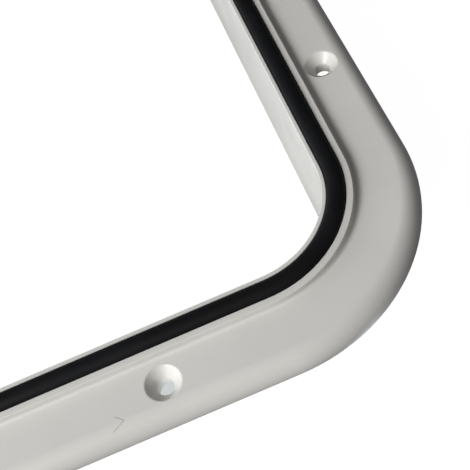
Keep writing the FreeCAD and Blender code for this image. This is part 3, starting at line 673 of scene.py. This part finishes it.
class PORTHOLE_OT_hinge_straps(bpy.types.Operator):
    """Mould the straps, and make their backing plates, bushes and pins"""
    bl_idname = "porthole.hinge_straps"
    bl_label = "Hinge straps"

    def execute(self, context):
        sizes = context.scene.porthole_lid
        top = sizes.pane_bottom + sizes.pane + sizes.strap
        for side, sign in SIDES:
            x = sign * sizes.hinge_x
            start, end = x - sizes.barrel_length / 2, x + sizes.barrel_length / 2
            self.strap(sizes, side, start, end, top)
            self.backing(sizes, side, x)
            self.bushes(sizes, side, start, end)
            self.pin(sizes, side, sign)
        return {"FINISHED"}

    def strap(self, sizes, side, start, end, top):
        y, z, radius = HINGE_AT.y, HINGE_AT.z, sizes.barrel_radius
        nose = 1.6 * MM
        outline = [(y - sizes.strap_reach, top - sizes.strap)]
        outline += arc((y - sizes.strap_reach + nose, top - nose), nose, 180, 90, 5)
        outline += [(y + radius, top)] + arc((y, z), radius, 0, -180, 24) + [(y - radius, top - sizes.strap)]
        tools = hole_pair(sizes, (start + end) / 2, y - sizes.bolt_reach, 0.0, 2 * top, top)
        tools.append(rod(sizes.bush_radius, start - 1 * MM, end + 1 * MM, (0.0, y, z), "X"))
        body = subtract(side_plate(outline, start, end, 0.6 * MM), join(*tools))
        piece("hinge_strap_body_" + side, body, "frame_plastic", "lid", ["hinge_strap_" + side], on_lid=True)

    def backing(self, sizes, side, x):
        gasket, thickness, width, corner = 1 * MM, 3 * MM, 14 * MM, 2 * MM
        high = sizes.pane_bottom - gasket
        y = HINGE_AT.y - sizes.bolt_reach
        outline = rectangle((x, y), (sizes.barrel_length, width), corner, 6)
        body = plate(outline, high - thickness, high, 0.5 * MM)
        body = subtract(body, join(*hole_pair(sizes, x, y, 0.0, 2 * high)))
        piece("hinge_backing_plate_" + side, body, "stainless", "lid", ["hinge_backing_" + side], on_lid=True)

    def bushes(self, sizes, side, start, end):
        bore, sleeve, face, ease = sizes.pin_radius + 0.05 * MM, sizes.bush_radius, 5 * MM, 0.25 * MM
        parts = []
        for place, way in ((start, 1), (end, -1)):
            inner, outer = place + way * sizes.bush_length, place - way * 1 * MM
            points = [(bore, inner), (sleeve, inner), (sleeve, place), (face, place), (face, outer + way * ease),
                      (face - ease, outer), (bore + ease, outer), (bore, outer + way * ease)]
            parts.append(lathe(points, (0.0, HINGE_AT.y, HINGE_AT.z), 40, "X"))
        piece("hinge_bush_pair_" + side, join(*parts), "bush_nylon", "lid", ["hinge_bushes_" + side], on_lid=True)

    def pin(self, sizes, side, sign):
        low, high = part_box("hinge_pin_" + side)
        tail, head = (high[0], low[0]) if sign > 0 else (low[0], high[0])
        shaft, cap, groove, ease = sizes.pin_radius, 4 * MM, 2 * MM, 0.5 * MM
        shoulder, clip = head + sign * 2 * MM, tail - sign * 3 * MM
        clip_end = clip + sign * 0.8 * MM
        points = [(0.0, head), (cap - 2 * ease, head), (cap - 0.6 * ease, head + sign * 0.4 * ease),
                  (cap, head + sign * 1.4 * ease), (cap, shoulder), (shaft, shoulder), (shaft, clip),
                  (groove, clip), (groove, clip_end), (shaft, clip_end), (shaft, tail - sign * ease),
                  (shaft - ease, tail), (0.0, tail)]
        body = lathe(points, (0.0, HINGE_AT.y, HINGE_AT.z), 40, "X")
        piece("hinge_pin_turned_" + side, body, "stainless", "frame", ["hinge_pin_" + side])


class PORTHOLE_OT_handles(bpy.types.Operator):
    """Mould the levers, caps, bases and nuts, and stamp the cams"""
    bl_idname = "porthole.handles"
    bl_label = "Handles"

    def execute(self, context):
        sizes = context.scene.porthole_lid
        for side, sign in SIDES:
            spot = handle_spot(sizes, sign)
            top = sizes.pane_bottom + sizes.pane
            self.base(sizes, side, spot, top)
            self.nut(sizes, side, spot)
            self.lever(sizes, side, spot, top + sizes.base + 0.3 * MM)
            self.cam(sizes, side, sign, spot)
        return {"FINISHED"}

    def base(self, sizes, side, spot, top):
        bore, ease = sizes.spindle_radius + 0.05 * MM, 1.2 * MM
        foot = top - sizes.sleeve_length
        points = [(bore, foot), (sizes.sleeve_radius - 0.5 * MM, foot), (sizes.sleeve_radius, foot + 0.5 * MM),
                  (sizes.sleeve_radius, top), (sizes.base_radius - 0.2 * MM, top)]
        points += arc((sizes.base_radius - ease, top + sizes.base - ease), ease, 0, 90, 6)
        face, scribe = top + sizes.base, sizes.hub_radius + 0.5 * MM
        groove = 0.3 * MM
        points += [(scribe + groove, face), (scribe, face - groove), (scribe - groove, face), (bore, face)]
        body = lathe(points, (*spot, 0.0), 72)
        piece("handle_base_body_" + side, body, "handle_nylon", "lid", ["handle_base_" + side], on_lid=True)

    def nut(self, sizes, side, spot):
        high = sizes.pane_bottom - 1.5 * MM
        corners = [(spot[0] + sizes.nut_radius * math.cos(math.radians(angle)),
                    spot[1] + sizes.nut_radius * math.sin(math.radians(angle))) for angle in range(0, 360, 60)]
        body = plate(corners, high - sizes.nut, high, 0.6 * MM, 2)
        bore = rod(sizes.sleeve_radius, high - 2 * sizes.nut, high + sizes.nut, (*spot, 0.0))
        piece("base_nut_body_" + side, subtract(body, bore), "handle_nylon", "lid", ["base_nut_" + side],
              on_lid=True)

    def lever(self, sizes, side, spot, low):
        x, y = spot
        hub, tip, reach = sizes.hub_radius, sizes.lever_tip, sizes.lever_length
        lean = math.degrees(math.asin((hub - tip) / reach))
        high = low + sizes.hub
        outline = arc((x, y), hub, 180 - lean, 360 + lean, 32) + arc((x, y + reach), tip, lean, 180 - lean, 16)
        arm = plate(outline, high - sizes.lever, high, 1.8 * MM, 6)
        neck = rod(hub, low, high - 2 * MM, (x, y, 0.0), ease=0.6 * MM, steps=72)
        bore = rod(sizes.spindle_radius, low - 1 * MM, low + 8.5 * MM, (x, y, 0.0))
        recess = rod(sizes.cap_radius, high - 1.5 * MM, high + 2 * MM, (x, y, 0.0), steps=64)
        body = subtract(join(arm, neck), join(bore, recess))
        piece("handle_lever_body_" + side, body, "handle_nylon", "handle_" + side, ["handle_lever_" + side],
              sharp=30, on_lid=True)
        rim, crown = sizes.cap_radius - 0.08 * MM, high + 0.4 * MM
        seat = high - 1.5 * MM
        points = [(0.0, seat), (rim, seat), (rim, high - 0.1 * MM), (rim - 0.25 * MM, high + 0.12 * MM),
                  (0.6 * rim, crown - 0.1 * MM), (0.3 * rim, crown - 0.02 * MM), (0.0, crown)]
        piece("handle_cap_body_" + side, lathe(points, (x, y, 0.0), 64), "frame_plastic", "handle_" + side,
              ["handle_cap_" + side], on_lid=True)

    def cam(self, sizes, side, sign, spot):
        x, y = spot
        high = -8.3 * MM
        half, hub = sizes.cam_width / 2, 6 * MM
        swing = math.degrees(math.asin(half / sizes.cam_reach))
        root = math.degrees(math.asin(half / hub))
        outline = arc(spot, hub, 180 + root, 540 - root, 24)
        outline += arc(spot, sizes.cam_reach, 180 - swing, 180 + swing, 10)
        outline = [(x + sign * (px - x), py) for px, py in outline]
        piece("latch_cam_body_" + side, plate(outline, high - sizes.cam, high, 0.4 * MM), "stainless",
              "handle_" + side, ["latch_cam_" + side], on_lid=True)


# ---------------------------------------------------------------- CAD nodes with finishes
class PORTHOLE_OT_cad_finishes(bpy.types.Operator):
    """Give every CAD node that stays its finish"""
    bl_idname = "porthole.cad_finishes"
    bl_label = "Fittings' finishes"

    def execute(self, context):
        for entry in frame["record"]["subparts"]:
            node = frame["nodes"][entry["node"]]
            node.data.materials.clear()
            node.data.materials.append(finish(entry["material_slot"]))
        return {"FINISHED"}


# ---------------------------------------------------------------- stage
def soft_light(name, strength, size, at, tint=(1.0, 1.0, 1.0)):
    """A square light that faces the near right corner of the frame."""
    data = bpy.data.lights.new(name, "AREA")
    data.energy = strength
    data.color = tint
    data.shape = "SQUARE"
    data.size = size
    made = bpy.data.objects.new(name, data)
    made.location = at
    made.rotation_euler = (Vector((0.12, -0.08, 0.0)) - Vector(at)).to_track_quat("-Z", "Y").to_euler()
    bpy.context.scene.collection.objects.link(made)


def floor_bounce(name, strength, size, at, turn):
    """Light thrown back by the floor, from a rectangle that the camera doesn't see."""
    data = bpy.data.lights.new(name, "AREA")
    data.energy = strength
    data.color = (0.85, 0.93, 1.0)
    data.shape = "RECTANGLE"
    data.size, data.size_y = size
    made = bpy.data.objects.new(name, data)
    made.location = at
    made.rotation_euler = turn
    made.visible_camera = False
    bpy.context.scene.collection.objects.link(made)


class PORTHOLE_OT_stage(bpy.types.Operator):
    """Set the pale floor, the soft lights and the camera"""
    bl_idname = "porthole.stage"
    bl_label = "Stage"

    def execute(self, context):
        scene, settings = context.scene, context.scene.porthole_stage
        mesh = bmesh.new()
        bmesh.ops.create_grid(mesh, x_segments=1, y_segments=1, size=6.0)
        bmesh.ops.translate(mesh, verts=mesh.verts[:], vec=(0.0, 0.0, CAD_BOX[0][2] - 0.2 * MM))
        floor = new_object("floor", mesh)
        paint = Paint("pale floor", Roughness=0.9, Specular_IOR_Level=0.1, Emission_Strength=0.985)
        paint.drive("Base Color", paint.blend(paint.noise(3, 2), (0.1, 0.1, 0.1), (0.12, 0.12, 0.12)))
        paint.drive("Emission Color", paint.blend(paint.noise(2, 1), (1.0, 1.0, 1.0), (0.99, 0.99, 0.99)))
        floor.data.materials.append(paint.material)
        floor.visible_diffuse = False
        floor.visible_glossy = False

        world = bpy.data.worlds.new("studio")
        world.use_nodes = True
        tree = world.node_tree
        background = tree.nodes["Background"]
        sight = tree.nodes.new("ShaderNodeLightPath")
        tint = tree.nodes.new("ShaderNodeMix")
        tint.data_type = "RGBA"
        tint.inputs[6].default_value = (settings.glow, settings.glow, 1.03 * settings.glow, 1.0)
        tint.inputs[7].default_value = (1.0, 1.0, 1.0, 1.0)
        tree.links.new(sight.outputs["Is Camera Ray"], tint.inputs[0])
        tree.links.new(tint.outputs[2], background.inputs["Color"])
        scene.world = world
        scene.view_settings.view_transform = "Standard"

        wide, narrow, cool = 1.4, 0.8, (0.88, 0.95, 1.0)
        soft_light("side light", settings.side_power, wide, (-1.82, 0.31, 0.29), cool)
        soft_light("key light", settings.key_power, narrow, (-1.34, -0.77, 1.17))
        soft_light("front light", settings.front_power, narrow, (-1.03, -1.24, 1.16))
        half_x, half_y, depth = CAD_BOX[1][0], -CAD_BOX[0][1], -CAD_BOX[0][2]
        floor_bounce("opening bounce", settings.opening_bounce, (1.6 * half_x, 1.35 * half_y),
                     (0.0, 0.0, 0.5 * MM - depth), (math.pi, 0.0, 0.0))
        for sign in (-1, 1):
            floor_bounce("long bounce", settings.flange_bounce, (1.8 * half_x, 0.8 * depth),
                         (0.0, sign * half_y, -0.5 * depth), (-0.5 * sign * math.pi, 0.0, 0.0))

        data = bpy.data.cameras.new("camera")
        data.sensor_width, data.lens = 36.0, settings.lens
        data.clip_start = 0.01
        camera = bpy.data.objects.new("camera", data)
        camera.location = settings.camera_at
        camera.rotation_euler = settings.camera_turn
        scene.collection.objects.link(camera)
        scene.camera = camera
        return {"FINISHED"}


BUILD_ORDER = (PORTHOLE_OT_stage, PORTHOLE_OT_cad_finishes, PORTHOLE_OT_frame, PORTHOLE_OT_hinge_ears,
               PORTHOLE_OT_rim_seal, PORTHOLE_OT_pane, PORTHOLE_OT_hinge_straps, PORTHOLE_OT_handles)


class PORTHOLE_PT_panel(bpy.types.Panel):
    """Buttons that build each piece"""
    bl_label = "Porthole"
    bl_idname = "PORTHOLE_PT_panel"
    bl_space_type = "VIEW_3D"
    bl_region_type = "UI"
    bl_category = "Porthole"

    def draw(self, context):
        for operator in BUILD_ORDER:
            self.layout.operator(operator.bl_idname)


GROUPS = (("porthole_sizes", FrameSizes), ("porthole_lid", LidSizes), ("porthole_colours", FinishColours),
          ("porthole_stage", StageSettings))
CLASSES = (*[group for _, group in GROUPS], *BUILD_ORDER, PORTHOLE_PT_panel)


def register():
    for item in CLASSES:
        bpy.utils.register_class(item)
    for name, group in GROUPS:
        setattr(bpy.types.Scene, name, PointerProperty(type=group))


def unregister():
    for name, _ in GROUPS:
        delattr(bpy.types.Scene, name)
    for item in reversed(CLASSES):
        bpy.utils.unregister_class(item)


def main():
    register()
    for operator in BUILD_ORDER:
        getattr(bpy.ops.porthole, operator.bl_idname.split(".")[1])()


if __name__ == "__main__":
    main()
